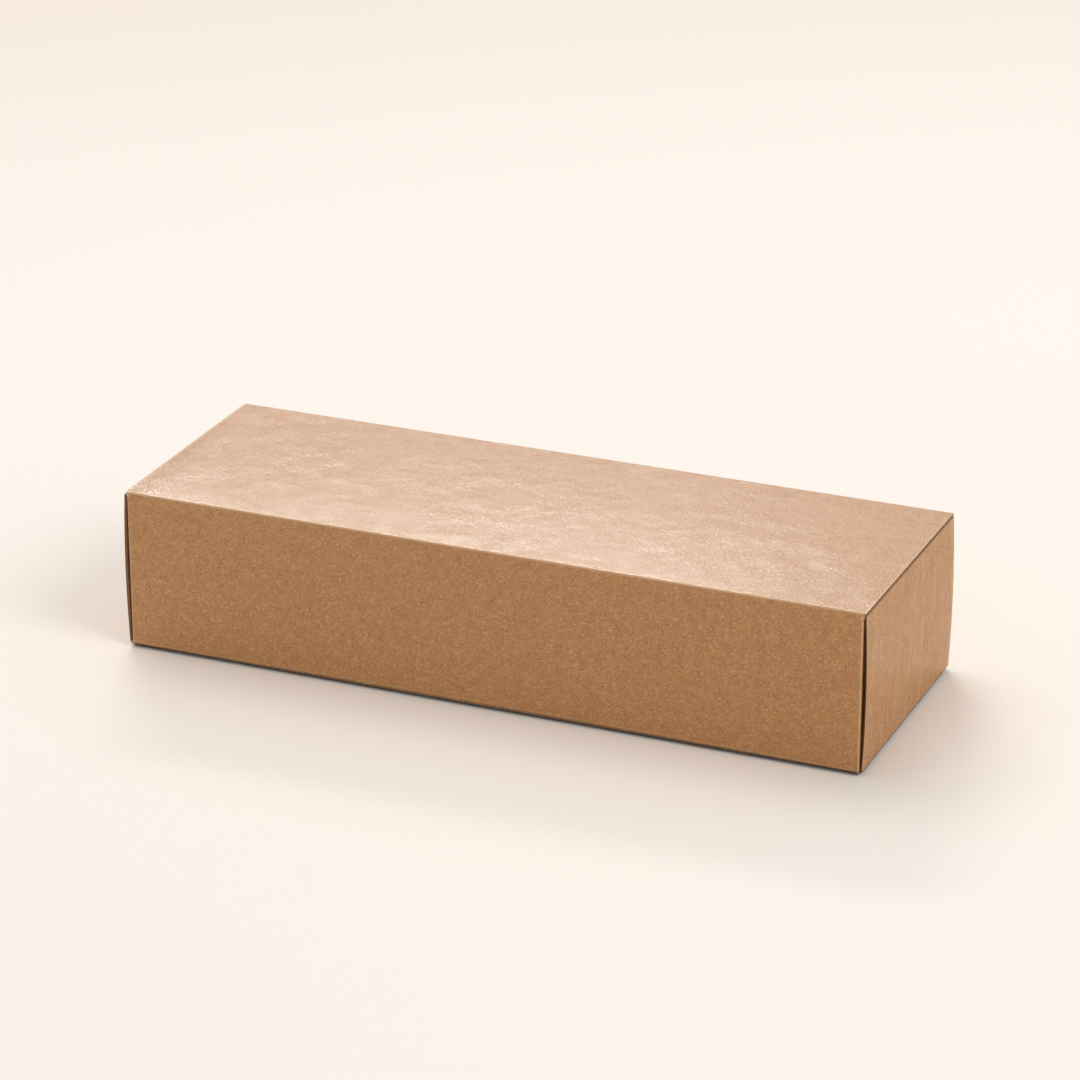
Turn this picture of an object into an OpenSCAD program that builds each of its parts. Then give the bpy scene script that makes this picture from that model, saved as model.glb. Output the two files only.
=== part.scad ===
// Reverse-tuck folding carton of kraft board, closed and lying on its bottom panel.
// Length runs along X, width along Y and height along Z. The origin is the centre of the underside.
// One sheet makes the sleeve, its glue flap and four dust flaps. Each end is covered by a closure:
// the right one is hinged on the bottom panel, the left one on the top panel, half a turn about Y apart.

/* [Carton] */
// Outside length, from end closure to end closure at their folds
length = 300; // [200:1:400]
// Outside width, from the front wall to the back wall
width = 103; // [80:1:160]
// Outside height, from the bottom panel to the top panel
height = 64.5; // [50:0.5:100]

/* [Board] */
// Thickness of the folding board
board = 0.5; // [0.3:0.05:0.7]
// Outside radius of a creased fold
fold_r = 0.75; // [0.7:0.05:1.2]
// How far a crease's bead swells past the fold's inside radius
bead_swell = 0.2; // [0.1:0.05:0.5]

/* [Glue seam] */
// Height of the front wall's cut edge above the underside
seam_rise = 1.3; // [1.3:0.1:3]
// Height that the glue flap reaches up behind the front wall
glue_flap_h = 15; // [8:1:25]
// Slope of the glue flap's ends from upright, in degrees
glue_flap_taper = 30; // [10:5:50]
// Distance of the glue flap's root from the sleeve's end
glue_flap_setback = 1; // [0.5:0.5:10]

/* [Dust flaps] */
// Gap between the tips of the two dust flaps at one end
dust_tip_gap = 22; // [8:1:50]
// Straight length of a dust flap's tuck-side edge, next to its fold
dust_shoulder = 6; // [2:1:12]
// Slope of the rest of that edge, in degrees
dust_taper = 12; // [0:1:20]
// Corner radius of a dust flap
dust_corner_r = 4; // [1:0.5:6]

/* [End closures] */
// Outward bow of a closure at mid height
closure_bow = 0.65; // [0:0.05:2]
// Distance of a closure's side edges inside the outer faces of the walls
closure_side_inset = 0.4; // [0.2:0.1:1.5]
// Distance of a hinge fold's ends inside the outer faces of the walls
hinge_inset = 2.5; // [1.6:0.1:5]
// Depth of the tuck from its fold to its tip
tuck_len = 15; // [10:1:20]
// Corner radius of the tuck
tuck_corner_r = 9; // [3:0.5:10]
// Slope of the tuck beyond what it needs to swing clear, in degrees
tuck_slope_spare = 1; // [0.5:0.1:3]

/* [Clearances] */
// Running clearance of the hinge folds
hinge_gap = 0.05; // [0.03:0.01:0.1]
// Gap between a closure and the dust flaps behind it
closure_back_gap = 0.55; // [0.3:0.05:1.5]
// Gap between a tuck's fold and the panel that it slides under
tuck_gap = 0.2; // [0.1:0.05:0.6]
// Gap between moving and fixed flap edges
flap_gap = 0.3; // [0.2:0.1:1]
// Distance of a panel's free cut end inside the closure's face
cut_end_inset = 0.15; // [0:0.05:0.4]

/* [Hidden] */
$fn = 64;
BOW_STEPS = 12;
ARC_STEPS = 8;

// Half sizes of the carton
half_l = length / 2;
half_w = width / 2;
// Inside radius of a fold, and radius of the bead that fills it
fold_inner_r = fold_r - board;
bead_r = fold_inner_r + bead_swell;
// End plane of the sleeve and of the dust flaps' outer faces
sleeve_end = half_l - board - closure_back_gap;
// Hinge line of the right closure, at mid board in both directions
hinge_r = board / 2;
hinge_x = half_l - hinge_r;
hinge_z = hinge_r;
// Height of a tuck's outer face, and the rise from the hinge line to the centre of its fold
tuck_z = height - board - tuck_gap;
tuck_fold_rise = tuck_z - fold_r - hinge_z;
// Slope at which the tuck's tip swings out no higher than its fold
tuck_slope = tuck_slope_spare + asin((tuck_len + 2 * (fold_r - hinge_r)) / (2 * tuck_fold_rise));
// Half widths of a closure, of its hinge fold and of its tuck
closure_half_w = half_w - closure_side_inset;
hinge_half_w = half_w - hinge_inset;
tuck_half_w = half_w - board - fold_r - bead_r - flap_gap;
// Depth of a dust flap from its fold
dust_depth = half_w - fold_r - dust_tip_gap / 2;
// Lowest and highest edges of the right dust flaps, clear of the hinge and of the swinging tuck
dust_low = fold_r + bead_r + flap_gap;
dust_high = hinge_z + tuck_fold_rise * cos(tuck_slope) + fold_inner_r - flap_gap;

KRAFT = "#BC9066";
KRAFT_END = "#C79F78";

// Points of an arc about c from angle a0 to a1
function arc(c, r, a0, a1) =
    [for (i = [0:ARC_STEPS]) let(a = a0 + (a1 - a0) * i / ARC_STEPS) c + r * [cos(a), sin(a)]];

function reversed(points) = [for (i = [len(points) - 1:-1:0]) points[i]];

// Extrudes a YZ section along X
module along_x(from, to) translate([from, 0, 0]) rotate([90, 0, 90]) linear_extrude(to - from) children();

// Extrudes an XZ section along Y
module along_y(from, to) translate([0, to, 0]) rotate([90, 0, 0]) linear_extrude(to - from) children();

// Extrudes a plan upwards
module along_z(from, to) translate([0, 0, from]) linear_extrude(to - from) children();

// Turns the right end's parts into the left end's
module to_left_end() translate([0, 0, height]) rotate([0, 180, 0]) children();

// Section of a right-angled fold about its own centre: the bent board with its inside bead
module fold_section(turn) {
    rotate(turn) intersection() {
        difference() {
            circle(fold_r);
            circle(fold_inner_r);
        }
        square(fold_r);
    }
    circle(bead_r);
}

// Section of the sleeve: four panels and four folds, the front bottom one set in behind the front wall
module sleeve_section() {
    seam_y = -half_w + board;
    translate([seam_y + fold_r, 0]) square([half_w - fold_r - (seam_y + fold_r), board]);
    translate([-half_w + fold_r, height - board]) square([width - 2 * fold_r, board]);
    translate([half_w - board, fold_r]) square([board, height - 2 * fold_r]);
    translate([-half_w, seam_rise]) square([board, height - fold_r - seam_rise]);
    translate([half_w - fold_r, height - fold_r]) fold_section(0);
    translate([-half_w + fold_r, height - fold_r]) fold_section(90);
    translate([seam_y + fold_r, fold_r]) fold_section(180);
    translate([half_w - fold_r, fold_r]) fold_section(270);
}

// Flap that rises from the bottom panel and is glued behind the front wall
module glue_flap() {
    root = sleeve_end - glue_flap_setback;
    tip = root - (glue_flap_h - fold_r) * tan(glue_flap_taper);
    along_y(-half_w + board, -half_w + 2 * board)
        polygon([[-root, fold_r], [root, fold_r], [tip, glue_flap_h], [-tip, glue_flap_h]]);
}

// Room for a dust flap's fold at the right front corner
module dust_fold_room()
    translate([sleeve_end - fold_r, -half_w - board, dust_low])
        cube([2 * fold_r, board + fold_r, dust_high - dust_low]);

// Dust flap at the right front corner, folded in behind the closure
module dust_flap() {
    fold_y = -half_w + fold_r;
    tip_y = fold_y + dust_depth;
    round_y = tip_y - dust_corner_r;
    // Centre height of the corner that is tangent to the sloping edge
    drop = (round_y - fold_y - dust_shoulder) * sin(dust_taper);
    round_z = dust_high - (dust_corner_r + drop) / cos(dust_taper);
    along_z(dust_low, dust_high) translate([sleeve_end - fold_r, fold_y]) fold_section(-90);
    along_x(sleeve_end - board, sleeve_end)
        polygon(concat(
            [[fold_y, dust_low]],
            arc([round_y, dust_low + dust_corner_r], dust_corner_r, -90, 0),
            arc([round_y, round_z], dust_corner_r, 0, 90 - dust_taper),
            [[fold_y + dust_shoulder, dust_high], [fold_y, dust_high]]
        ));
}

// Both dust flaps of the right end
module dust_flap_pair() {
    dust_flap();
    mirror([0, 1, 0]) dust_flap();
}

// Both fold rooms of the right end
module dust_fold_rooms() {
    dust_fold_room();
    mirror([0, 1, 0]) dust_fold_room();
}

// Free end of the top panel, which covers the right closure's tuck
module free_panel_end() {
    y = half_w - board - fold_r;
    along_z(height - board, height)
        polygon([[sleeve_end, -y], [half_l - cut_end_inset, -y], [half_l - cut_end_inset, y], [sleeve_end, y]]);
}

// Hinged end of the bottom panel, which stops at the inside face of the right closure
module hinged_panel_end() {
    y = half_w - board - fold_r;
    x = half_l - board - hinge_gap;
    along_z(0, board) polygon([[sleeve_end, -y], [x, -y], [x, y], [sleeve_end, y]]);
}

module carton_body() color(KRAFT) {
    difference() {
        along_x(-sleeve_end, sleeve_end) sleeve_section();
        dust_fold_rooms();
        to_left_end() dust_fold_rooms();
    }
    glue_flap();
    dust_flap_pair();
    to_left_end() dust_flap_pair();
    free_panel_end();
    hinged_panel_end();
    to_left_end() {
        free_panel_end();
        hinged_panel_end();
    }
}

// Outline of the closure's section at one depth in from its outer face: bowed panel, fold and tuck
function closure_path(depth) =
    let(
        low = hinge_z,
        high = tuck_z - fold_r,
        centre = [half_l - fold_r, high],
        r = fold_r - depth,
        last = 90 + tuck_slope
    )
    concat(
        [for (i = [0:BOW_STEPS - 1])
            let(s = i / BOW_STEPS) [half_l - depth + closure_bow * 4 * s * (1 - s), low + (high - low) * s]],
        arc(centre, r, 0, last),
        [centre + r * [cos(last), sin(last)] - tuck_len * [cos(tuck_slope), sin(tuck_slope)]]
    );

// Plan of a closure: its full width past the sleeve's end, and the narrower tuck with rounded corners
module closure_plan() {
    shoulder = sleeve_end + flap_gap;
    tip = half_l - fold_r - tuck_len;
    corner_x = tip + tuck_corner_r;
    translate([shoulder, -closure_half_w]) square([half_l + closure_bow - shoulder, 2 * closure_half_w]);
    translate([corner_x, -tuck_half_w]) square([shoulder - corner_x, 2 * tuck_half_w]);
    translate([tip, -tuck_half_w + tuck_corner_r]) square([tuck_corner_r, 2 * (tuck_half_w - tuck_corner_r)]);
    for (side = [-1, 1])
        translate([corner_x, side * (tuck_half_w - tuck_corner_r)]) circle(tuck_corner_r);
}

// Face of a closure seen from its end, narrowed at the hinge fold
module closure_face() {
    relief = closure_half_w - hinge_half_w;
    polygon([
        [-hinge_half_w, 0], [hinge_half_w, 0], [closure_half_w, relief],
        [closure_half_w, height], [-closure_half_w, height], [-closure_half_w, relief]
    ]);
}

// Closure of the right end, with its round hinge edge on the hinge line
module closure() {
    intersection() {
        along_y(-half_w, half_w) polygon(concat(closure_path(0), reversed(closure_path(board))));
        along_z(0, height) closure_plan();
        along_x(0, length) closure_face();
    }
    translate([hinge_x, hinge_half_w, hinge_z]) rotate([90, 0, 0]) cylinder(h = 2 * hinge_half_w, r = hinge_r);
}

module right_closure() color(KRAFT_END) closure();

module left_closure() color(KRAFT_END) to_left_end() closure();

carton_body();
right_closure();
left_closure();
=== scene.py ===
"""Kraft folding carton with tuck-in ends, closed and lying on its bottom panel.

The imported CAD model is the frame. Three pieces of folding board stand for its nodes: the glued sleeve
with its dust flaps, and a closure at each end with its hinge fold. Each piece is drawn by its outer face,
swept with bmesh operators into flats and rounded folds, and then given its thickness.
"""

import logging
import math
from collections.abc import Callable, Mapping, Sequence
from dataclasses import dataclass, field
from enum import Enum

import bmesh
import bpy
from bmesh.types import BMEdge, BMFace, BMVert
from mathutils import Matrix, Vector


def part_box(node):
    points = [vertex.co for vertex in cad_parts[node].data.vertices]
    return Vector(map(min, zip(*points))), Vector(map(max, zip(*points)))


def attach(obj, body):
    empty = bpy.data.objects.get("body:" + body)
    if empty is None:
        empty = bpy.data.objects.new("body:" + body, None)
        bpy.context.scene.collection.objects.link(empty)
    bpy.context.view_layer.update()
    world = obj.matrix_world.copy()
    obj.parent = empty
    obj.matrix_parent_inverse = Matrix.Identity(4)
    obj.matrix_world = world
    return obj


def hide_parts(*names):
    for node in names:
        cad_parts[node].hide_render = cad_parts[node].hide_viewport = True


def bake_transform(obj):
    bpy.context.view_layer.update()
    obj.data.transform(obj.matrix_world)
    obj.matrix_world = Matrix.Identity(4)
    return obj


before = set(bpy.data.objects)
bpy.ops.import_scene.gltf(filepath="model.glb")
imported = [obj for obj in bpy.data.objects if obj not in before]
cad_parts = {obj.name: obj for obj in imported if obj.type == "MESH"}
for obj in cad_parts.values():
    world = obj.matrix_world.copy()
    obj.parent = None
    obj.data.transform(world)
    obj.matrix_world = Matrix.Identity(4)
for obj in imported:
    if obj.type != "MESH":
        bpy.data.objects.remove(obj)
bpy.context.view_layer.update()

LOG = logging.getLogger("carton")

MM = 0.001
X_AXIS = Vector((1, 0, 0))
Y_AXIS = Vector((0, 1, 0))
Z_AXIS = Vector((0, 0, 1))

PLACE = "rest_place"
# Point attribute: above 0 the worn colour with painted highlight, below 0 painted shade
WEAR_AND_SHADE = "wear_and_shade"

# Wear of a crease that is bruised as dark as it gets. A rubbed one has up to 1.
# Value where painted shade is full, on folds and strips that lie in shade. Worn colour with painted
# highlight goes up to 1.
FULL_PAINTED_SHADE = -1.0

# How far a point may lie from where it is looked for, and from another that it is merged with
NEAR = 0.01 * MM
MERGED = 0.001 * MM

# Rows of a flat: the close ones at each end, the widest spacing of the others, and how near these may
# come to a row that is asked for
CLOSE_ROWS = (0.5 * MM, 2.0 * MM)
ROW_PITCH = 3.5 * MM
ROW_CLEARANCE = 0.2 * MM

# Two values that belong together, such as the ends of a range
Span = tuple[float, float]

# Sockets of the Mix node when it mixes colours
MIX_FROM = 6
MIX_TO = 7
MIX_RESULT = 2


class BoardFace(Enum):
    """Faces of a board, in the order of a piece's material slots."""

    OUTER = 0
    INNER = 1
    EDGE = 2


class End(Enum):
    """Ends of the carton, with the sign of their X."""

    RIGHT = 1
    LEFT = -1

    @property
    def body(self) -> str:
        """Name of the CAD body that this end's closure rides on."""
        return f"{self.name.lower()}_flap"

    @property
    def node(self) -> str:
        """Name of the CAD node that this end's closure stands for."""
        return f"{self.name.lower()}_closure"


class Mark(Enum):
    """Marks on the faces of a sheet, for the trims that round or slope their outline."""

    PANEL = 0
    GLUE_FLAP = 1
    FRONT_DUST_FLAP = 2
    BACK_DUST_FLAP = 3
    TUCK = 4
    HINGE = 5


def linear(colour: str) -> tuple[float, float, float, float]:
    """Turns an sRGB hex colour into the linear values that Blender's sockets take.

    Args:
        colour: The colour as "#RRGGBB".

    Returns:
        Red, green, blue and an opaque alpha.
    """
    shown = [int(colour[i:i + 2], 16) / 255 for i in (1, 3, 5)]
    # The curve and its numbers are those of the sRGB standard.
    red, green, blue = [c / 12.92 if c <= 0.04045 else ((c + 0.055) / 1.055) ** 2.4 for c in shown]
    return red, green, blue, 1.0


def add_node(
    tree: bpy.types.NodeTree,
    kind: str,
    inputs: Mapping[int | str, object] | None = None,
    **settings: object,
) -> bpy.types.Node:
    """Adds a node with its settings and links.

    Args:
        tree: The tree that the node joins.
        kind: Blender's name of the node's type.
        inputs: What each input takes: a socket is linked, and anything else is its own value.
        settings: Properties of the node itself.

    Returns:
        The new node.
    """
    node = tree.nodes.new(kind)
    for name, value in settings.items():
        setattr(node, name, value)
    for key, value in (inputs or {}).items():
        if isinstance(value, bpy.types.NodeSocket):
            tree.links.new(value, node.inputs[key])
        else:
            node.inputs[key].default_value = value
    return node


def new_tree(owner: bpy.types.Material | bpy.types.World) -> bpy.types.NodeTree:
    """Gives a material or world an empty node tree, and returns it."""
    owner.use_nodes = True
    owner.node_tree.nodes.clear()
    return owner.node_tree


def seen_directly(tree: bpy.types.NodeTree) -> bpy.types.NodeSocket:
    """Tells the camera's own rays, and those off a glossy surface or through glass, from other light.

    Args:
        tree: The node tree of the world.

    Returns:
        A value that is 1 on those rays and 0 on all others.
    """
    ray = add_node(tree, "ShaderNodeLightPath").outputs
    seen = ray["Is Camera Ray"]
    for kind in ("Is Glossy Ray", "Is Transmission Ray"):
        either = add_node(tree, "ShaderNodeMath", {0: seen, 1: ray[kind]}, operation="MAXIMUM")
        seen = either.outputs["Value"]
    return seen


@dataclass(frozen=True)
class KraftFace:
    """One face of unbleached kraft folding board: pressed wood pulp, machine glazed outside.

    The pulp's long fibres and its clouds show as a soft brown mottle, with a few dark specks of bark
    and pale straws. The glazed side has a satin sheen that breaks up into fine sparks along the grain.
    """

    name: str
    base: str = "#C28953"
    cloud: str = "#AE7743"
    dark_fibre: str = "#8F5B30"
    pale_fibre: str = "#DBB47F"
    speck: str = "#5E3A20"
    # Worn colour, partly real wear and partly painted highlight, on folds and cut edges
    worn_and_highlight: str = "#DDBD91"
    # Painted shade: dark brown for folds and strips that lie in shade
    painted_shade: str = "#2B170A"
    cloud_share: float = 0.7
    dark_share: float = 0.8
    pale_share: float = 0.78
    grain_share: float = 0.32
    speck_share: float = 0.6
    # Share of the worn colour with its painted highlight
    worn_and_highlight_share: float = 0.7
    # Share of the painted shade
    painted_shade_share: float = 0.9
    streak_share: float = 0.0
    # Where each tint sets in and where it is full, on its pattern. A pair that falls takes the low side.
    dark_streaks: Span = (0.50, 0.70)
    pale_streaks: Span = (0.50, 0.30)
    clouds: Span = (0.38, 0.66)
    bundles: Span = (0.52, 0.76)
    dark_grain: Span = (0.50, 0.72)
    pale_grain: Span = (0.50, 0.28)
    bark: Span = (0.55, 0.75)
    # The grain between these values takes the face from smoothest to roughest, and the worn colour with its
    # painted highlight to its full share.
    grain_range: Span = (0.3, 0.7)
    least_worn_and_highlight: float = 0.4
    sheen: float = 0.95
    sheen_spread: float = 0.2
    # Sum of the two fibre patterns from where the sheen is weakest to where it is strongest
    sheen_range: Span = (0.8, 1.2)
    # Glazed paper shines more at a low angle: the share of its sheen that is left when seen squarely,
    # and the turns from square, as the Facing value, between which the rest comes in.
    square_sheen: float = 0.5
    low_angles: Span = (0.15, 0.6)
    smoothest: float = 0.16
    roughest: float = 0.25
    refraction: float = 1.5
    relief: float = 0.07 * MM
    # Pulp clouds are about 4 mm across. A fibre is some 2 mm long and far too thin to show, so it is
    # drawn 0.7 mm wide, as coarse as it needs to be.
    cloud_size: float = 4 * MM
    fibre_length: float = 2.0 * MM
    fibre_width: float = 0.7 * MM
    # Turns of the dark bundles and of the pale straws, in degrees
    fibre_turn: float = 24.0
    straw_turn: float = -38.0
    # The grain is finer than 0.2 mm on the real board, and drawn at 0.5 mm, where it still shows.
    grain_size: float = 0.5 * MM
    # The board cockles by about a tenth of a millimetre over a centimetre or two.
    cockle_size: float = 12 * MM
    cockle_share: float = 4.0
    streak_width: float = 3 * MM
    streak_length: float = 40 * MM
    speck_spacing: float = 4.5 * MM
    speck_radius: float = 0.26 * MM
    # Radius at which a speck has faded out, as a multiple of its own
    speck_fade: float = 2.0
    # Detail and roughness of each noise
    cloud_noise: Span = (3.0, 0.6)
    grain_noise: Span = (2.0, 0.6)
    cockle_noise: Span = (1.0, 0.4)
    fibre_noise: Span = (2.0, 0.55)
    streak_noise: Span = (1.0, 0.5)

    def stretched(
        self, tree: bpy.types.NodeTree, place: bpy.types.NodeSocket,
        size: tuple[float, float, float], noise: Span, turn: float = 0.0,
    ) -> bpy.types.NodeSocket:
        """Draws a pattern that is longer one way than the others.

        Args:
            tree: The material's tree.
            place: The rest place of each point, in metres.
            size: The pattern's size along each of its axes.
            noise: The detail and roughness of its noise.
            turn: The pattern's turn about each axis, in degrees.

        Returns:
            A value from 0 to 1.
        """
        angle = math.radians(turn)
        aligned = add_node(
            tree, "ShaderNodeMapping",
            {"Vector": place, "Rotation": (angle, angle, angle), "Scale": size},
            vector_type="TEXTURE",
        )
        detail, roughness = noise
        return add_node(
            tree, "ShaderNodeTexNoise",
            {"Vector": aligned.outputs["Vector"], "Scale": 1.0, "Detail": detail, "Roughness": roughness},
        ).outputs["Fac"]

    def specks(self, tree: bpy.types.NodeTree, place: bpy.types.NodeSocket) -> bpy.types.NodeSocket:
        """Scatters small specks, and returns a value that is high on a speck and differs among them."""
        cells = add_node(tree, "ShaderNodeTexVoronoi", {"Vector": place, "Scale": 1 / self.speck_spacing})
        radius = self.speck_radius / self.speck_spacing
        spot = add_node(
            tree, "ShaderNodeMapRange",
            {"Value": cells.outputs["Distance"], "From Min": radius, "From Max": self.speck_fade * radius,
             "To Min": 1.0, "To Max": 0.0},
            interpolation_type="SMOOTHSTEP",
        )
        pick = add_node(tree, "ShaderNodeSeparateColor", {"Color": cells.outputs["Color"]})
        return add_node(
            tree, "ShaderNodeMath",
            {0: spot.outputs["Result"], 1: pick.outputs["Red"]},
            operation="MULTIPLY",
        ).outputs["Value"]

    def material(self) -> bpy.types.Material:
        """Makes the material of this face of the board."""
        material = bpy.data.materials.new(self.name)
        tree = new_tree(material)
        place = add_node(tree, "ShaderNodeAttribute", attribute_name=PLACE).outputs["Vector"]
        wear_and_shade = add_node(tree, "ShaderNodeAttribute", attribute_name=WEAR_AND_SHADE).outputs["Fac"]
        cloud, grain, cockle = (
            add_node(
                tree, "ShaderNodeTexNoise",
                {"Vector": place, "Scale": 1 / size, "Detail": detail, "Roughness": roughness},
            ).outputs["Fac"]
            for size, (detail, roughness) in (
                (self.cloud_size, self.cloud_noise),
                (self.grain_size, self.grain_noise),
                (self.cockle_size, self.cockle_noise),
            )
        )
        bundle = (self.fibre_length, self.fibre_width, self.fibre_width)
        fibre = self.stretched(tree, place, bundle, self.fibre_noise, self.fibre_turn)
        straw = self.stretched(tree, place, bundle, self.fibre_noise, self.straw_turn)
        run = (self.streak_width, self.streak_width, self.streak_length)
        streak = self.stretched(tree, place, run, self.streak_noise)
        low, high = self.grain_range
        uneven, roughness = (
            add_node(
                tree, "ShaderNodeMapRange",
                {"Value": grain, "From Min": low, "From Max": high, "To Min": least, "To Max": most},
            ).outputs["Result"]
            for least, most in ((self.least_worn_and_highlight, 1.0), (self.smoothest, self.roughest))
        )
        worn_and_highlight_amount = add_node(tree, "ShaderNodeMath", {0: wear_and_shade, 1: uneven}, operation="MULTIPLY")
        layers = (
            (streak, self.cloud, self.dark_streaks, self.streak_share),
            (streak, self.pale_fibre, self.pale_streaks, self.streak_share),
            (cloud, self.cloud, self.clouds, self.cloud_share),
            (fibre, self.dark_fibre, self.bundles, self.dark_share),
            (straw, self.pale_fibre, self.bundles, self.pale_share),
            (grain, self.dark_fibre, self.dark_grain, self.grain_share),
            (grain, self.pale_fibre, self.pale_grain, self.grain_share),
            (self.specks(tree, place), self.speck, self.bark, self.speck_share),
            # Worn colour, partly real wear and partly painted highlight, on folds and edges
            (worn_and_highlight_amount.outputs["Value"], self.worn_and_highlight, (0.0, 1.0), self.worn_and_highlight_share),
            # Painted shade in folds and strips that lie in shade
            (wear_and_shade, self.painted_shade, (0.0, FULL_PAINTED_SHADE), self.painted_shade_share),
        )
        colour: object = linear(self.base)
        for value, tint, (start, full), share in layers:
            amount = add_node(
                tree, "ShaderNodeMapRange",
                {"Value": value, "From Min": start, "From Max": full, "To Min": 0.0, "To Max": share},
            )
            colour = add_node(
                tree, "ShaderNodeMix",
                {0: amount.outputs["Result"], MIX_FROM: colour, MIX_TO: linear(tint)},
                data_type="RGBA",
            ).outputs[MIX_RESULT]
        fibres = add_node(tree, "ShaderNodeMath", {0: fibre, 1: straw}, operation="ADD").outputs["Value"]
        height = fibres
        for value, share in ((grain, self.grain_share), (cockle, self.cockle_share)):
            height = add_node(
                tree, "ShaderNodeMath",
                {0: value, 1: share, 2: height},
                operation="MULTIPLY_ADD",
            ).outputs["Value"]
        facing = add_node(tree, "ShaderNodeLayerWeight").outputs["Facing"]
        weakest, strongest = (self.sheen * (1 + way * self.sheen_spread) for way in (-1, 1))
        glaze, low_angle = (
            add_node(
                tree, "ShaderNodeMapRange",
                {"Value": value, "From Min": low, "From Max": high, "To Min": least, "To Max": most},
            ).outputs["Result"]
            for value, (low, high), least, most in (
                (fibres, self.sheen_range, weakest, strongest),
                (facing, self.low_angles, self.square_sheen, 1.0),
            )
        )
        shine = add_node(tree, "ShaderNodeMath", {0: glaze, 1: low_angle}, operation="MULTIPLY")
        bump = add_node(tree, "ShaderNodeBump", {"Height": height, "Distance": self.relief})
        board = add_node(
            tree, "ShaderNodeBsdfPrincipled",
            {"Base Color": colour, "Roughness": roughness, "IOR": self.refraction,
             "Specular IOR Level": shine.outputs["Value"], "Normal": bump.outputs["Normal"]},
        )
        add_node(tree, "ShaderNodeOutputMaterial", {"Surface": board.outputs["BSDF"]})
        return material


# Machine-glazed kraft, calendered: the outer face has a satin sheen at a low angle.
OUTER_KRAFT = KraftFace("kraft_board_glazed_outside")

# The same glazed kraft on the closures, rubbed by tucking: it looks dull, with the machine's faint streaks.
END_KRAFT = KraftFace("kraft_board_rubbed_outside", sheen=0.1, streak_share=0.35)

# Uncoated kraft, as formed on the wire: the inside looks matte, and a little duller than the outside.
INNER_KRAFT = KraftFace(
    "kraft_board_uncoated_inside", base="#B58659", cloud="#A97B4E", smoothest=0.75, roughest=0.9,
)

# Die-cut kraft edge: the cut plies are matte and much darker than a face, partly their own colour and
# partly painted shade of the slits and gaps they lie in; no lighter where rubbed, with no painted
# highlight, and with short ragged fibres.
CUT_KRAFT = KraftFace(
    "kraft_board_die_cut_edge", base="#65401F", cloud="#57371B", pale_fibre="#7F5A36",
    worn_and_highlight="#65401F", smoothest=0.8, roughest=0.95, fibre_length=0.9 * MM, fibre_width=0.3 * MM,
)


@dataclass(frozen=True)
class CartonSizes:
    """Sizes that the pieces share, in metres. The outer ones come from the CAD model's own boxes."""

    half_length: float
    half_width: float
    height: float
    board: float = 0.5 * MM
    # Outside radius of a rounded fold
    fold: float = 0.85 * MM
    # Distances of the sleeve's end and of a panel's free cut end inside the closure's folds
    sleeve_end: float = 1.05 * MM
    free_end_inset: float = 0.15 * MM
    # Distances of the right dust flaps' edges from the underside and from the top
    dust_low: float = 1.5 * MM
    dust_high: float = 2.16 * MM
    # Slope at which the tuck swings out clear of the panel over it
    tuck_slope: float = math.radians(8.32)
    # How far the middle of the bottom panel hangs below its edges
    sag: float = 0.55 * MM

    @classmethod
    def from_frame(cls) -> "CartonSizes":
        """Reads the carton's outer sizes from the CAD model's boxes."""
        _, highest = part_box("carton_body")
        return cls(highest.x + cls.free_end_inset, highest.y, highest.z)

    @property
    def end_x(self) -> float:
        """X of the sleeve's right end, which is the outer face of its dust flaps."""
        return self.half_length - self.sleeve_end

    def sink(self, place: Vector) -> Vector:
        """Gives how far the bottom panel sags below its edges, so that the edges stand off the floor.

        Args:
            place: A point of the carton whose bottom panel is flat.

        Returns:
            The move of the point, which is nothing above the board of the bottom panel.
        """
        if place.z > self.board:
            return Vector((0, 0, 0))
        across = max(0.0, 1 - (place.y / self.half_width) ** 2)
        along = max(0.0, 1 - (place.x / self.half_length) ** 2)
        return -Z_AXIS * (self.sag * (across * along) ** 2)

    def turn_to(self, end: End) -> Matrix:
        """Gives the turn that takes a form drawn for the right end to an end of the carton.

        Args:
            end: The end that the form belongs to.

        Returns:
            The identity, or half a turn about Y through the carton's middle.
        """
        if end is End.RIGHT:
            return Matrix.Identity(4)
        return Matrix.Translation((0, 0, self.height)) @ Matrix.Rotation(math.pi, 4, "Y")


def stations(length: float, extra: Sequence[float] = ()) -> list[float]:
    """Spaces the rows of a flat run, with close rows at both of its ends.

    Args:
        length: The length of the run.
        extra: Rows that the run also needs, measured from its start.

    Returns:
        The distances of the rows from the start, in order, without the start itself.
    """
    first = CLOSE_ROWS[-1]
    inner = length - 2 * first
    count = max(1, math.ceil(inner / ROW_PITCH))
    rows = [*CLOSE_ROWS, *(first + inner * i / count for i in range(1, count))]
    rows += [*(length - d for d in reversed(CLOSE_ROWS)), length]
    kept = [d for d in rows if all(abs(d - e) > ROW_CLEARANCE for e in extra) or d == length]
    return sorted({*kept, *extra})


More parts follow.
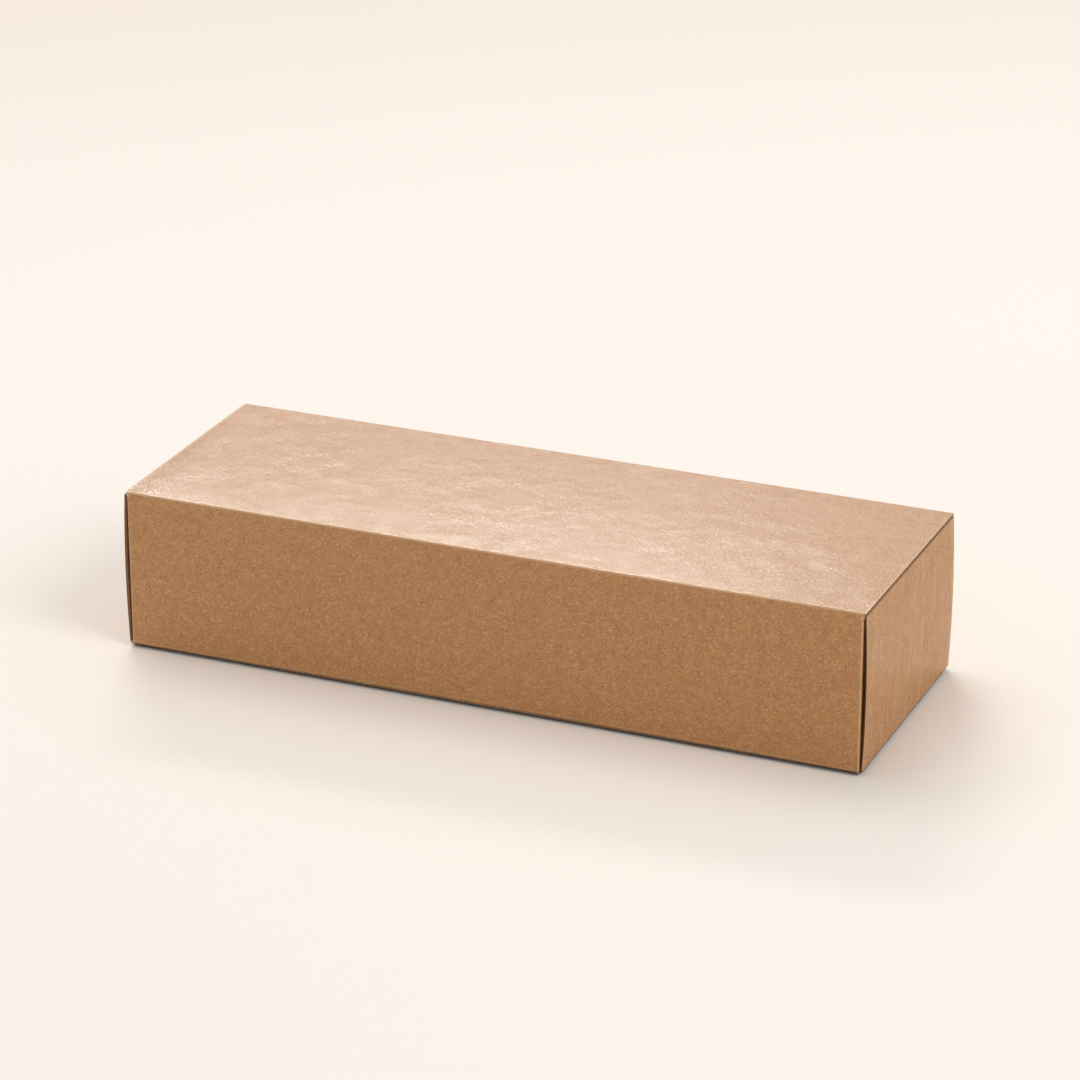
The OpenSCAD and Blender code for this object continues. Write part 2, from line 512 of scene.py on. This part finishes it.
class BoardSheet:
    """A sheet of board drawn by its outer face."""

    FOLD_STEPS = 8
    CORNER_STEPS = 8
    # Painted shade is full after the first quarter of its fold.
    PAINTED_SHADE_RISE = 4
    # Worn colour with painted highlight on a cut edge, and the least of it on the points within a short
    # reach of it
    EDGE_WEAR_AND_HIGHLIGHT = 1.3
    EDGE_REACH = 1 * MM
    EDGE_REACH_WEAR_AND_HIGHLIGHT = 0.5
    # Angle from which an edge is drawn sharp
    SHARP = math.radians(35)

    def __init__(
        self, start: Vector, direction: Vector, rows: Sequence[float],
        turn: Matrix | None = None, wear_and_shade: float = 0.0,
    ) -> None:
        """Starts a sheet as a straight line of edges.

        Args:
            start: The line's first point.
            direction: The line's direction.
            rows: The distances of the line's other points from the first.
            turn: What turns the drawn form to its place.
            wear_and_shade: How worn the line is, with painted highlight, up to 1, or how dark its painted
                shade is, down to -1.
        """
        self.turn = turn or Matrix.Identity(4)
        self.mesh = bmesh.new()
        self.wear_and_shade = self.mesh.verts.layers.float.new(WEAR_AND_SHADE)
        self.marks = self.mesh.faces.layers.int.new("mark")
        vert = bmesh.ops.create_vert(self.mesh, co=self.turn @ start)["vert"][0]
        self.line: list[BMEdge] = []
        for distance in rows:
            grown = bmesh.ops.extrude_vert_indiv(self.mesh, verts=[vert])
            vert = grown["verts"][0]
            vert.co = self.turn @ (start + direction * distance)
            self.line += grown["edges"]
        for vert in self.mesh.verts:
            vert[self.wear_and_shade] = wear_and_shade

    def place(self, vert: BMVert) -> Vector:
        """Gives where a point lies in the form as it is drawn, before its turn."""
        return self.turn.inverted() @ vert.co

    def sweep(self, edges: Sequence[BMEdge], step: Matrix, mark: Mark, wear_and_shade: float) -> list[BMEdge]:
        """Extrudes edges once.

        Args:
            edges: The edges at the sheet's border.
            step: The move of the new edges, in the drawn form.
            mark: The mark that the new faces get.
            wear_and_shade: How worn the new edges are, with painted highlight, up to 1, or how dark their
                painted shade is, down to -1.

        Returns:
            The new edges at the border.
        """
        grown = bmesh.ops.extrude_edge_only(self.mesh, edges=list(edges))["geom"]
        verts = [g for g in grown if isinstance(g, BMVert)]
        move = self.turn @ step @ self.turn.inverted()
        bmesh.ops.transform(self.mesh, matrix=move, verts=verts)
        for vert in verts:
            vert[self.wear_and_shade] = wear_and_shade
        for face in (g for g in grown if isinstance(g, BMFace)):
            face[self.marks] = mark.value
        fresh = set(verts)
        return [g for g in grown if isinstance(g, BMEdge) and fresh.issuperset(g.verts)]

    def run(
        self, edges: Sequence[BMEdge], direction: Vector, rows: Sequence[float],
        mark: Mark = Mark.PANEL, wear_and_shade: float = 0.0,
    ) -> list[BMEdge]:
        """Extrudes edges into a flat.

        Args:
            edges: The edges at the sheet's border.
            direction: The direction of the flat.
            rows: The distances of its rows.
            mark: The mark that the new faces get.
            wear_and_shade: How worn the rows are, with painted highlight, up to 1, or how dark their
                painted shade is, down to -1.

        Returns:
            The new edges at the border.
        """
        before = 0.0
        for distance in rows:
            step = Matrix.Translation(direction * (distance - before))
            edges = self.sweep(edges, step, mark, wear_and_shade)
            before = distance
        return list(edges)

    def fold(
        self, edges: Sequence[BMEdge], centre: Vector, axis: Vector, degrees: float,
        steps: int = FOLD_STEPS, mark: Mark = Mark.PANEL, wear_and_shade: float = 1.0,
    ) -> list[BMEdge]:
        """Extrudes edges round a rounded fold.

        Args:
            edges: The edges at the sheet's border.
            centre: A point on the fold's axis.
            axis: The direction of the axis.
            degrees: The fold's angle.
            steps: The number of facets.
            mark: The mark that the new faces get.
            wear_and_shade: How worn the fold's middle is, with painted highlight, up to 1, or how dark the
                painted shade of its last part is, down to -1.

        Returns:
            The new edges at the border.
        """
        turn = Matrix.Rotation(math.radians(degrees) / steps, 4, axis)
        step = Matrix.Translation(centre) @ turn @ Matrix.Translation(-centre)
        for i in range(steps):
            done = (i + 1) / steps
            reached = math.sin(math.pi * done) if wear_and_shade > 0 else min(1.0, self.PAINTED_SHADE_RISE * done)
            edges = self.sweep(edges, step, mark, wear_and_shade * reached)
        return list(edges)

    def border(self, inside: Callable[[Vector], bool]) -> list[BMEdge]:
        """Finds the border edges whose two ends both pass a test on their drawn place."""
        return [
            e for e in self.mesh.edges
            if len(e.link_faces) == 1 and all(inside(self.place(v)) for v in e.verts)
        ]

    def trim(self, mark: Mark, end: End, point: Vector, outward: Vector) -> None:
        """Cuts away what lies beyond a plane from the faces with a mark at one end of the carton.

        Args:
            mark: The faces' mark.
            end: The end of the carton, by the sign of X in the drawn form.
            point: A point on the plane.
            outward: The plane's normal, on the side that goes.
        """
        back = self.turn.inverted()
        faces = [
            f for f in self.mesh.faces
            if f[self.marks] == mark.value and (back @ f.calc_center_median()).x * end.value > 0
        ]
        parts = {*faces, *(e for f in faces for e in f.edges), *(v for f in faces for v in f.verts)}
        bmesh.ops.bisect_plane(
            self.mesh, geom=list(parts), plane_co=self.turn @ point,
            plane_no=self.turn.to_3x3() @ outward, clear_outer=True,
        )

    def round_corner(
        self, mark: Mark, end: End, centre: Vector, radius: float,
        first: Vector, last: Vector, degrees: float,
    ) -> None:
        """Rounds an outer corner of a flap by trims along its arc.

        Args:
            mark: The flap's mark.
            end: The end of the carton that the flap is at.
            centre: The centre of the arc.
            radius: The arc's radius.
            first: The direction from the centre to the arc's start.
            last: The direction at right angles to it, to which the arc turns.
            degrees: The arc's angle.
        """
        for i in range(self.CORNER_STEPS):
            angle = math.radians(degrees) * (i + 0.5) / self.CORNER_STEPS
            outward = first * math.cos(angle) + last * math.sin(angle)
            self.trim(mark, end, centre + outward * radius, outward)

    def shape(self, move: Callable[[Vector], Vector]) -> None:
        """Moves each point by what a function gives for its drawn place."""
        turned = self.turn.to_3x3()
        for vert in self.mesh.verts:
            vert.co += turned @ move(self.place(vert))

    def settle(self, move: Callable[[Vector], Vector]) -> None:
        """Moves each point by what a function gives for its own place."""
        for vert in self.mesh.verts:
            vert.co += move(vert.co)

    def finish(
        self, name: str, board: float, up: Vector, faces: Sequence[bpy.types.Material],
    ) -> bpy.types.Object:
        """Turns the sheet into a closed shell of board.

        Args:
            name: The piece's name.
            board: The board's thickness, which goes inwards.
            up: A direction in which the outermost face of the sheet looks.
            faces: The materials of the board's outer face, inner face and cut edges.

        Returns:
            The finished piece, with its place in its mesh.
        """
        bmesh.ops.remove_doubles(self.mesh, verts=self.mesh.verts, dist=MERGED)
        bmesh.ops.recalc_face_normals(self.mesh, faces=self.mesh.faces)
        outermost = max(self.mesh.faces, key=lambda f: f.calc_center_median() @ up)
        if outermost.normal @ up < 0:
            bmesh.ops.reverse_faces(self.mesh, faces=self.mesh.faces)
        # Cut edges and the points near them get the worn colour with painted highlight.
        for vert in (v for v in self.mesh.verts if v.is_boundary and v[self.wear_and_shade] >= 0):
            vert[self.wear_and_shade] = self.EDGE_WEAR_AND_HIGHLIGHT
            beside = (e.other_vert(vert) for e in vert.link_edges if e.calc_length() < self.EDGE_REACH)
            for other in (v for v in beside if v[self.wear_and_shade] >= 0):
                other[self.wear_and_shade] = max(other[self.wear_and_shade], self.EDGE_REACH_WEAR_AND_HIGHLIGHT)
        drawn = bpy.data.meshes.new(name)
        self.mesh.to_mesh(drawn)
        self.mesh.free()
        for material in faces:
            drawn.materials.append(material)
        piece = bpy.data.objects.new(name, drawn)
        bpy.context.scene.collection.objects.link(piece)
        wall = piece.modifiers.new("board", "SOLIDIFY")
        wall.thickness = board
        wall.offset = -1.0
        wall.use_even_offset = True
        wall.material_offset = BoardFace.INNER.value
        wall.material_offset_rim = BoardFace.EDGE.value
        graph = bpy.context.evaluated_depsgraph_get()
        solid = bpy.data.meshes.new_from_object(piece.evaluated_get(graph))
        piece.modifiers.clear()
        piece.data = solid
        solid.name = name
        solid.shade_smooth()
        solid.set_sharp_from_angle(angle=self.SHARP)
        places = solid.attributes.new(PLACE, "FLOAT_VECTOR", "POINT")
        places.data.foreach_set("vector", [c for v in solid.vertices for c in v.co])
        return piece


@dataclass
class Sleeve:
    """The glued sleeve: four panels, the glue flap behind the front wall, and four dust flaps."""

    sizes: CartonSizes
    # Height of the front wall's cut edge, how far its middle arches up, and the zone that arches with it
    seam_rise: float = 1.7 * MM
    seam_arch: float = 0.6 * MM
    seam_zone: float = 9 * MM
    # Glue's gap behind the front wall, the fold's radius there, and the depth below the front wall's cut
    # edge that is painted in full shade
    seam_gap: float = 0.05 * MM
    seam_fold: float = 1.2 * MM
    seam_shade: float = 2 * MM
    glue_flap: float = 15 * MM
    glue_flap_taper: float = 30.0
    # Painted shade on the glue flap, which lies behind the front wall
    glue_flap_shade: float = -0.35
    dust_depth: float = 39.75 * MM
    dust_shoulder: float = 6 * MM
    dust_taper: float = 12.0
    dust_corner: float = 4 * MM
    # How far the walls' upper ends reach past the dust flaps, and how far round the top fold, in degrees
    # from flat, the top panel's end reaches over the closure
    cheek: float = 0.45 * MM
    lip_angle: float = 50.0
    # The top panel's crown, and the oblique ridge in it. The higher its power, the nearer each reaches
    # to the panel's ends.
    crown: float = 0.25 * MM
    crown_power: int = 4
    ridge: float = 0.8 * MM
    ridge_power: int = 20
    ridge_width: float = 8 * MM
    ridge_start: Span = (-132 * MM, -50 * MM)
    ridge_turn: float = math.radians(20)
    sheet: BoardSheet = field(init=False)

    def draw_panels(self) -> None:
        """Sweeps the glue flap, the panels and the folds between them, round to the seam again."""
        s = self.sizes
        core = s.end_x - s.fold
        seam_y = -s.half_width + s.board + self.seam_gap
        tip = Vector((-core, seam_y, self.glue_flap))
        self.sheet = BoardSheet(tip, X_AXIS, stations(2 * core))
        sheet = self.sheet
        walls = [s.dust_low, s.dust_high, s.height - s.dust_high, s.height - s.dust_low]
        tall = s.height - 2 * s.fold
        depth = [self.glue_flap - self.seam_fold]
        edges = sheet.run(sheet.line, -Z_AXIS, depth, Mark.GLUE_FLAP, self.glue_flap_shade)
        seam_centre = Vector((0, seam_y + self.seam_fold, self.seam_fold))
        # The seam's fold and the strip after it are painted in full shade, for the dark strip and line
        # under the front wall.
        edges = sheet.fold(edges, seam_centre, X_AXIS, 90, wear_and_shade=FULL_PAINTED_SHADE)
        edges = sheet.run(edges, Y_AXIS, [self.seam_shade], wear_and_shade=FULL_PAINTED_SHADE)
        bottom = s.half_width - s.fold - (seam_y + self.seam_fold) - self.seam_shade
        edges = sheet.run(edges, Y_AXIS, stations(bottom))
        edges = sheet.fold(edges, Vector((0, s.half_width - s.fold, s.fold)), X_AXIS, 90)
        edges = sheet.run(edges, Z_AXIS, stations(tall, [z - s.fold for z in walls]))
        edges = sheet.fold(edges, Vector((0, s.half_width - s.fold, s.height - s.fold)), X_AXIS, 90)
        edges = sheet.run(edges, -Y_AXIS, stations(2 * (s.half_width - s.fold)))
        edges = sheet.fold(edges, Vector((0, -s.half_width + s.fold, s.height - s.fold)), X_AXIS, 90)
        drop = s.height - s.fold - self.seam_rise
        sheet.run(edges, -Z_AXIS, stations(drop, [s.height - s.fold - z for z in walls]))
        for end in End:
            slope = math.radians(self.glue_flap_taper)
            outward = Vector((math.cos(slope) * end.value, 0, math.sin(slope)))
            sheet.trim(Mark.GLUE_FLAP, end, Vector((core * end.value, seam_y, self.seam_fold)), outward)

    def draw_end(self, end: End) -> None:
        """Adds the dust flaps and the panels' ends to one end of the sleeve.

        Args:
            end: The end of the carton.
        """
        s = self.sizes
        sheet = self.sheet
        sheet.turn = s.turn_to(end)
        core = s.end_x - s.fold
        low, high = s.dust_low, s.height - s.dust_high
        for side, mark in ((-1, Mark.FRONT_DUST_FLAP), (1, Mark.BACK_DUST_FLAP)):
            edges = sheet.border(
                lambda p: p.x > core - NEAR and p.y * side > s.half_width - NEAR
                and low - NEAR < p.z < high + NEAR
            )
            centre = Vector((core, side * (s.half_width - s.fold), 0))
            edges = sheet.fold(edges, centre, Z_AXIS, -90 * side)
            reach = [CLOSE_ROWS[0], self.dust_shoulder, self.dust_depth]
            sheet.run(edges, -side * Y_AXIS, reach, mark)
            self.trim_dust_flap(side, mark)
        edges = sheet.border(lambda p: core - NEAR < p.x < core + NEAR)
        sheet.run(edges, X_AXIS, [s.end_x - core])
        edges = sheet.border(lambda p: abs(p.x - s.end_x) < NEAR and p.z > high - NEAR)
        sheet.run(edges, X_AXIS, [self.cheek])
        lip = s.height - s.fold * (1 - math.cos(math.radians(self.lip_angle)))
        edges = sheet.border(lambda p: abs(p.x - s.end_x - self.cheek) < NEAR and p.z > lip)
        sheet.run(edges, X_AXIS, [s.sleeve_end - s.free_end_inset - self.cheek])
        sheet.turn = Matrix.Identity(4)

    def trim_dust_flap(self, side: int, mark: Mark) -> None:
        """Slopes the tuck-side edge of a dust flap and rounds its corners.

        Args:
            side: The sign of the flap's Y.
            mark: The flap's mark.
        """
        s = self.sizes
        sheet = self.sheet
        inward = -side * Y_AXIS
        fold_y = side * (s.half_width - s.fold)
        low, high = s.dust_low, s.height - s.dust_high
        taper = math.radians(self.dust_taper)
        radius = self.dust_corner
        shoulder = Vector((s.end_x, fold_y, high)) + inward * self.dust_shoulder
        sloped = inward * math.sin(taper) + Z_AXIS * math.cos(taper)
        sheet.trim(mark, End.RIGHT, shoulder, sloped)
        run = self.dust_depth - radius
        corner = Vector((s.end_x, fold_y, low + radius)) + inward * run
        sheet.round_corner(mark, End.RIGHT, corner, radius, -Z_AXIS, inward, 90)
        rise = high - radius / math.cos(taper) - (run - self.dust_shoulder) * math.tan(taper)
        corner = Vector((s.end_x, fold_y, rise)) + inward * run
        sheet.round_corner(mark, End.RIGHT, corner, radius, inward, Z_AXIS, 90 - self.dust_taper)

    def bow(self, place: Vector) -> Vector:
        """Gives how far a point of the sleeve lies off its flat panel.

        Args:
            place: The point on the flat form.

        Returns:
            The move of the point.
        """
        s = self.sizes
        along = min(1.0, abs(place.x) / s.end_x)
        move = s.sink(place)
        if place.z > s.height - NEAR:
            across = max(0.0, 1 - (place.y / (s.half_width - s.fold)) ** 2)
            start_x, start_y = self.ridge_start
            turn = self.ridge_turn
            off = (place.x - start_x) * math.cos(turn) + (place.y - start_y) * math.sin(turn)
            crown = self.crown * (1 - along ** self.crown_power)
            ridge = self.ridge * math.exp(-0.5 * (off / self.ridge_width) ** 2)
            move += Z_AXIS * (across * (crown + ridge * (1 - along ** self.ridge_power)))
        if place.y < -s.half_width + NEAR and place.z < self.seam_zone:
            share = (self.seam_zone - place.z) / (self.seam_zone - self.seam_rise)
            move += Z_AXIS * (self.seam_arch * (1 - along ** 2) * share)
        return move

    def build(self, faces: Sequence[bpy.types.Material]) -> bpy.types.Object:
        """Builds the sleeve and dresses it.

        Args:
            faces: The materials of the board's outer face, inner face and cut edges.

        Returns:
            The piece, riding on the carton.
        """
        self.draw_panels()
        for end in End:
            self.draw_end(end)
        self.sheet.settle(self.bow)
        piece = self.sheet.finish("sleeve_board", self.sizes.board, Z_AXIS, faces)
        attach(piece, "carton")
        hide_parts("carton_body")
        return piece


@dataclass
class Closure:
    """A closure: its hinge fold on the sleeve, the bowed end panel and the tuck."""

    sizes: CartonSizes
    end: End
    # How dark the painted shade on the hinge's fold is, the share of that painted at the panel's lower
    # edge, and the painted shade on the tuck's fold under the top panel's end
    hinge_shade: float = 0.65
    hinge_shade_spread: float = 0.75
    tuck_shade: float = -0.4
    side_inset: float = 0.4 * MM
    hinge_fold: float = 1.3 * MM
    hinge_inset: float = 2.4 * MM
    # How far the hinge's board reaches in past the sleeve's end, and its rise on the way
    root: float = 1.0 * MM
    root_rise: float = 0.01 * MM
    tuck_gap: float = 0.4 * MM
    tuck_inset: float = 1.6 * MM
    tuck_length: float = 15 * MM
    tuck_corner: float = 9 * MM
    bow: float = 0.8 * MM

    def draw(self) -> BoardSheet:
        """Sweeps the closure's panel, its tuck and its hinge, turned to its own end."""
        s = self.sizes
        half = s.half_width - self.side_inset
        tuck_z = s.height - s.board - self.tuck_gap
        low, high = self.hinge_fold, tuck_z - s.fold
        insets = (self.tuck_inset, self.hinge_inset)
        rows = stations(2 * half, [*insets, *(2 * half - inset for inset in reversed(insets))])
        lower_edge = Vector((s.half_length, -half, low))
        wear_and_shade = -self.hinge_shade_spread * self.hinge_shade
        sheet = BoardSheet(lower_edge, Y_AXIS, rows, s.turn_to(self.end), wear_and_shade)
        edges = sheet.run(sheet.line, Z_AXIS, stations(high - low))
        sheet.shape(lambda p: X_AXIS * (4 * self.bow * (p.z - low) * (high - p.z) / (high - low) ** 2))
        centre = Vector((s.half_length - s.fold, 0, high))
        sheet.fold(edges, centre, -Y_AXIS, 90, wear_and_shade=self.tuck_shade)
        tuck_half = half - self.tuck_inset
        edges = sheet.border(lambda p: p.z > tuck_z - NEAR and abs(p.y) < tuck_half + NEAR)
        edges = sheet.fold(edges, centre, -Y_AXIS, math.degrees(s.tuck_slope), steps=1)
        reach = Vector((-math.cos(s.tuck_slope), 0, -math.sin(s.tuck_slope)))
        sheet.run(edges, reach, [CLOSE_ROWS[0], self.tuck_length], Mark.TUCK)
        root = centre + Vector((-math.sin(s.tuck_slope), 0, math.cos(s.tuck_slope))) * s.fold
        for side in (-1, 1):
            corner = root + reach * (self.tuck_length - self.tuck_corner)
            corner += Y_AXIS * side * (tuck_half - self.tuck_corner)
            sheet.round_corner(Mark.TUCK, End.RIGHT, corner, self.tuck_corner, reach, Y_AXIS * side, 90)
        hinge_half = half - self.hinge_inset
        edges = sheet.border(lambda p: p.z < low + NEAR and abs(p.y) < hinge_half + NEAR)
        hinge_centre = Vector((s.half_length - self.hinge_fold, 0, self.hinge_fold))
        edges = sheet.fold(edges, hinge_centre, Y_AXIS, 90, mark=Mark.HINGE, wear_and_shade=-self.hinge_shade)
        inner = s.half_length - self.hinge_fold - (s.end_x - self.root)
        slope = Vector((-inner, 0, self.root_rise)).normalized()
        # The hinge's board inside the sleeve is painted in full shade.
        sheet.run(edges, slope, [inner], Mark.HINGE, FULL_PAINTED_SHADE)
        return sheet

    def build(self, faces: Sequence[bpy.types.Material]) -> bpy.types.Object:
        """Builds the closure and dresses it.

        Args:
            faces: The materials of the board's outer face, inner face and cut edges.

        Returns:
            The piece.
        """
        s = self.sizes
        sheet = self.draw()
        turn = s.turn_to(self.end)
        piece = sheet.finish(f"{self.end.node}_board", s.board, X_AXIS * self.end.value, faces)
        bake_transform(piece)
        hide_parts(self.end.node)
        return piece


@dataclass(frozen=True)
class Lamp:
    """A soft box of the studio."""

    name: str
    place: tuple[float, float, float]
    aim: tuple[float, float, float]
    width: float
    depth: float
    power: float
    colour: str = "#FFFFFF"

    def build(self) -> bpy.types.Object:
        """Hangs the lamp and points it at its aim."""
        light = bpy.data.lights.new(self.name, "AREA")
        light.shape = "RECTANGLE"
        light.size = self.width
        light.size_y = self.depth
        light.energy = self.power
        light.color = linear(self.colour)[:3]
        lamp = bpy.data.objects.new(self.name, light)
        lamp.location = self.place
        away = Vector(self.place) - Vector(self.aim)
        lamp.rotation_euler = away.to_track_quat("Z", "Y").to_euler()
        bpy.context.scene.collection.objects.link(lamp)
        return lamp


@dataclass(frozen=True)
class Viewpoint:
    """The camera's place, which is the photograph's."""

    azimuth: float = 22.868
    elevation: float = 22.856
    roll: float = -0.036
    distance: float = 1.639
    aim: tuple[float, float, float] = (-0.0013, 0.0064, 0.0461)
    # Focal length and sensor width in millimetres, and the nearest and farthest distance drawn
    lens: float = 142.29
    sensor: float = 36.0
    clip: Span = (0.05, 50.0)

    def build(self) -> bpy.types.Object:
        """Makes the camera and gives it to the scene."""
        azimuth = math.radians(self.azimuth)
        elevation = math.radians(self.elevation)
        back = Vector((
            math.sin(azimuth) * math.cos(elevation),
            -math.cos(azimuth) * math.cos(elevation),
            math.sin(elevation),
        ))
        right = Vector((math.cos(azimuth), math.sin(azimuth), 0))
        up = back.cross(right)
        axes = Matrix((right, up, back)).transposed()
        lens = bpy.data.cameras.new("photograph_camera")
        lens.lens = self.lens
        lens.sensor_width = self.sensor
        lens.clip_start, lens.clip_end = self.clip
        camera = bpy.data.objects.new("photograph_camera", lens)
        spin = Matrix.Rotation(math.radians(self.roll), 3, "Z")
        camera.matrix_world = Matrix.LocRotScale(
            Vector(self.aim) + back * self.distance, axes @ spin, None,
        )
        bpy.context.scene.collection.objects.link(camera)
        bpy.context.scene.camera = camera
        return camera


@dataclass(frozen=True)
class Studio:
    """The pale floor, the soft light and the backdrop."""

    floor_size: float = 5.0
    # The floor lies just under the lowest part of the sagging bottom panel.
    floor_drop: float = 0.58 * MM
    floor_roughness: float = 0.9
    floor_colour: str = "#FDF5EC"
    # Painted shade where the studio light falls off far behind the carton: the floor's colour there, the
    # way to there, and where it sets in and is full
    far_shaded_colour: str = "#E6D8CE"
    far_way: tuple[float, float, float] = (-0.59, 0.81, 0.0)
    far_from: float = 0.25
    far_full: float = 1.45
    backdrop: str = "#FBF3EC"
    ambient: str = "#FFFFFF"
    ambient_strength: float = 0.475
    lamps: tuple[Lamp, ...] = (
        Lamp("overhead_box", (-2.1, 1.6, 5.3), (0.0, 0.0, 0.0), 4.0, 4.0, 108.0),
        Lamp("window_strip", (-1.393, 2.355, 1.905), (0.0, 0.0, 0.06), 1.32, 0.16, 21.5),
        Lamp("side_box", (2.4, -0.6, 2.4), (0.0, 0.0, 0.03), 1.6, 1.6, 32.0),
    )

    def build_floor(self) -> bpy.types.Object:
        """Lays the floor just under the carton."""
        mesh = bmesh.new()
        bmesh.ops.create_grid(mesh, x_segments=1, y_segments=1, size=self.floor_size / 2)
        bmesh.ops.translate(mesh, vec=(0, 0, -self.floor_drop), verts=mesh.verts)
        data = bpy.data.meshes.new("floor")
        mesh.to_mesh(data)
        mesh.free()
        floor = bpy.data.objects.new("floor", data)
        bpy.context.scene.collection.objects.link(floor)
        material = bpy.data.materials.new("matte_paper_floor")
        tree = new_tree(material)
        place = add_node(tree, "ShaderNodeTexCoord").outputs["Object"]
        depth = add_node(
            tree, "ShaderNodeVectorMath",
            {0: place, 1: self.far_way},
            operation="DOT_PRODUCT",
        )
        far = add_node(
            tree, "ShaderNodeMapRange",
            {"Value": depth.outputs["Value"], "From Min": self.far_from, "From Max": self.far_full},
            interpolation_type="SMOOTHSTEP",
        )
        near_colour, far_shaded_colour = linear(self.floor_colour), linear(self.far_shaded_colour)
        colour = add_node(
            tree, "ShaderNodeMix",
            {0: far.outputs["Result"], MIX_FROM: near_colour, MIX_TO: far_shaded_colour},
            data_type="RGBA",
        ).outputs[MIX_RESULT]
        paper = add_node(
            tree, "ShaderNodeBsdfPrincipled",
            {"Base Color": colour, "Roughness": self.floor_roughness, "Specular IOR Level": 0.0},
        )
        add_node(tree, "ShaderNodeOutputMaterial", {"Surface": paper.outputs["BSDF"]})
        data.materials.append(material)
        return floor

    def build_world(self) -> None:
        """Makes the backdrop that the camera sees, and the dimmer room light that the object gets."""
        world = bpy.data.worlds.new("studio")
        bpy.context.scene.world = world
        tree = new_tree(world)
        room, backdrop = (
            add_node(tree, "ShaderNodeBackground", {"Color": linear(colour), "Strength": strength})
            for colour, strength in ((self.ambient, self.ambient_strength), (self.backdrop, 1.0))
        )
        mixed = add_node(
            tree, "ShaderNodeMixShader",
            {0: seen_directly(tree), 1: room.outputs["Background"], 2: backdrop.outputs["Background"]},
        )
        add_node(tree, "ShaderNodeOutputWorld", {"Surface": mixed.outputs["Shader"]})

    def build(self) -> None:
        """Sets up the studio."""
        self.build_floor()
        self.build_world()
        for lamp in self.lamps:
            lamp.build()
        bpy.context.scene.view_settings.view_transform = "Standard"


def main() -> None:
    """Builds the pieces, the studio and the camera, and reports each piece."""
    logging.basicConfig(level=logging.INFO, format="%(name)s: %(message)s")
    Viewpoint().build()
    Studio().build()
    sizes = CartonSizes.from_frame()
    outside, end_outside, inside, cut = (
        kraft.material() for kraft in (OUTER_KRAFT, END_KRAFT, INNER_KRAFT, CUT_KRAFT)
    )
    pieces = [Sleeve(sizes).build((outside, inside, cut))]
    # The right closure's hinge fold is at the foot of the carton and gets full painted shade, for the dark
    # line where it meets the floor.
    closures = (Closure(sizes, End.RIGHT, hinge_shade=1.0), Closure(sizes, End.LEFT))
    pieces += [closure.build((end_outside, inside, cut)) for closure in closures]
    for piece in pieces:
        shell = piece.data
        LOG.info("%s: %d vertices, %d faces", piece.name, len(shell.vertices), len(shell.polygons))


if __name__ == "__main__":
    main()
